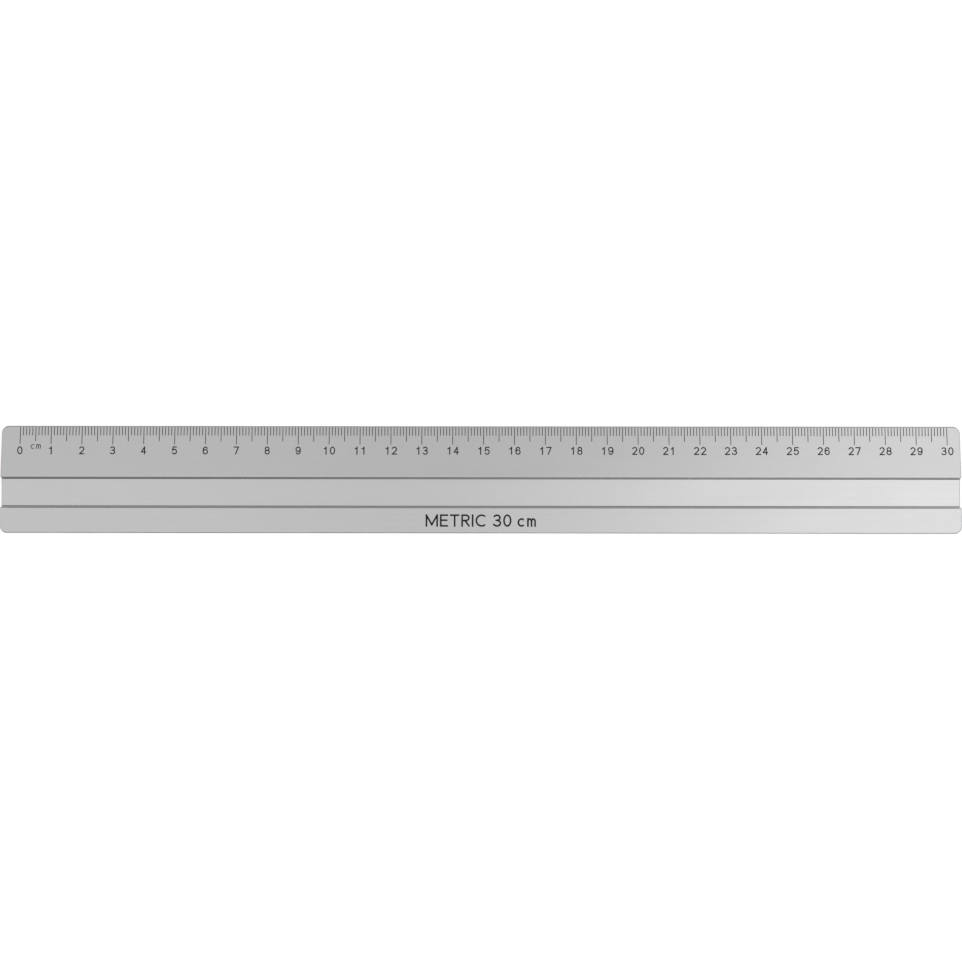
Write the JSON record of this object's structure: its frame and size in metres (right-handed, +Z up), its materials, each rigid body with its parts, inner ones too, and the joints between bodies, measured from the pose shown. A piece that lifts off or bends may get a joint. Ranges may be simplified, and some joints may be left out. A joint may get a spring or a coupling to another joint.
{
  "type": "desk ruler",
  "caption": "Flat bevelled aluminium ruler with a printed centimetre scale, a sunk finger channel, a raised rear band and soft grip strips underneath.",
  "frame": {"origin": "centre of the bounding box in X and Y, on the plane that the soft strips rest on", "axes": "+X along the ruler, the way the numbers read; +Y towards the measuring edge; +Z up, out of the printed face"},
  "size_m": [0.3104, 0.0346, 0.0036],
  "materials": {
    "anodised_aluminium": "satin",
    "grip_rubber": "matte",
    "scale_ink": "matte"
  },
  "bodies": {
    "root": {"ruler_body": "anodised_aluminium", "front_grip_strip": "grip_rubber", "rear_grip_strip": "grip_rubber", "centimetre_marks": "scale_ink", "half_centimetre_marks": "scale_ink", "millimetre_marks": "scale_ink", "unit_label": "scale_ink", "size_legend": "scale_ink", "numeral_00": "scale_ink", "numeral_01": "scale_ink", "numeral_02": "scale_ink", "numeral_03": "scale_ink", "numeral_04": "scale_ink", "numeral_05": "scale_ink", "numeral_06": "scale_ink", "numeral_07": "scale_ink", "numeral_08": "scale_ink", "numeral_09": "scale_ink", "numeral_10": "scale_ink", "numeral_11": "scale_ink", "numeral_12": "scale_ink", "numeral_13": "scale_ink", "numeral_14": "scale_ink", "numeral_15": "scale_ink", "numeral_16": "scale_ink", "numeral_17": "scale_ink", "numeral_18": "scale_ink", "numeral_19": "scale_ink", "numeral_20": "scale_ink", "numeral_21": "scale_ink", "numeral_22": "scale_ink", "numeral_23": "scale_ink", "numeral_24": "scale_ink", "numeral_25": "scale_ink", "numeral_26": "scale_ink", "numeral_27": "scale_ink", "numeral_28": "scale_ink", "numeral_29": "scale_ink", "numeral_30": "scale_ink"}
  },
  "joints": []
}
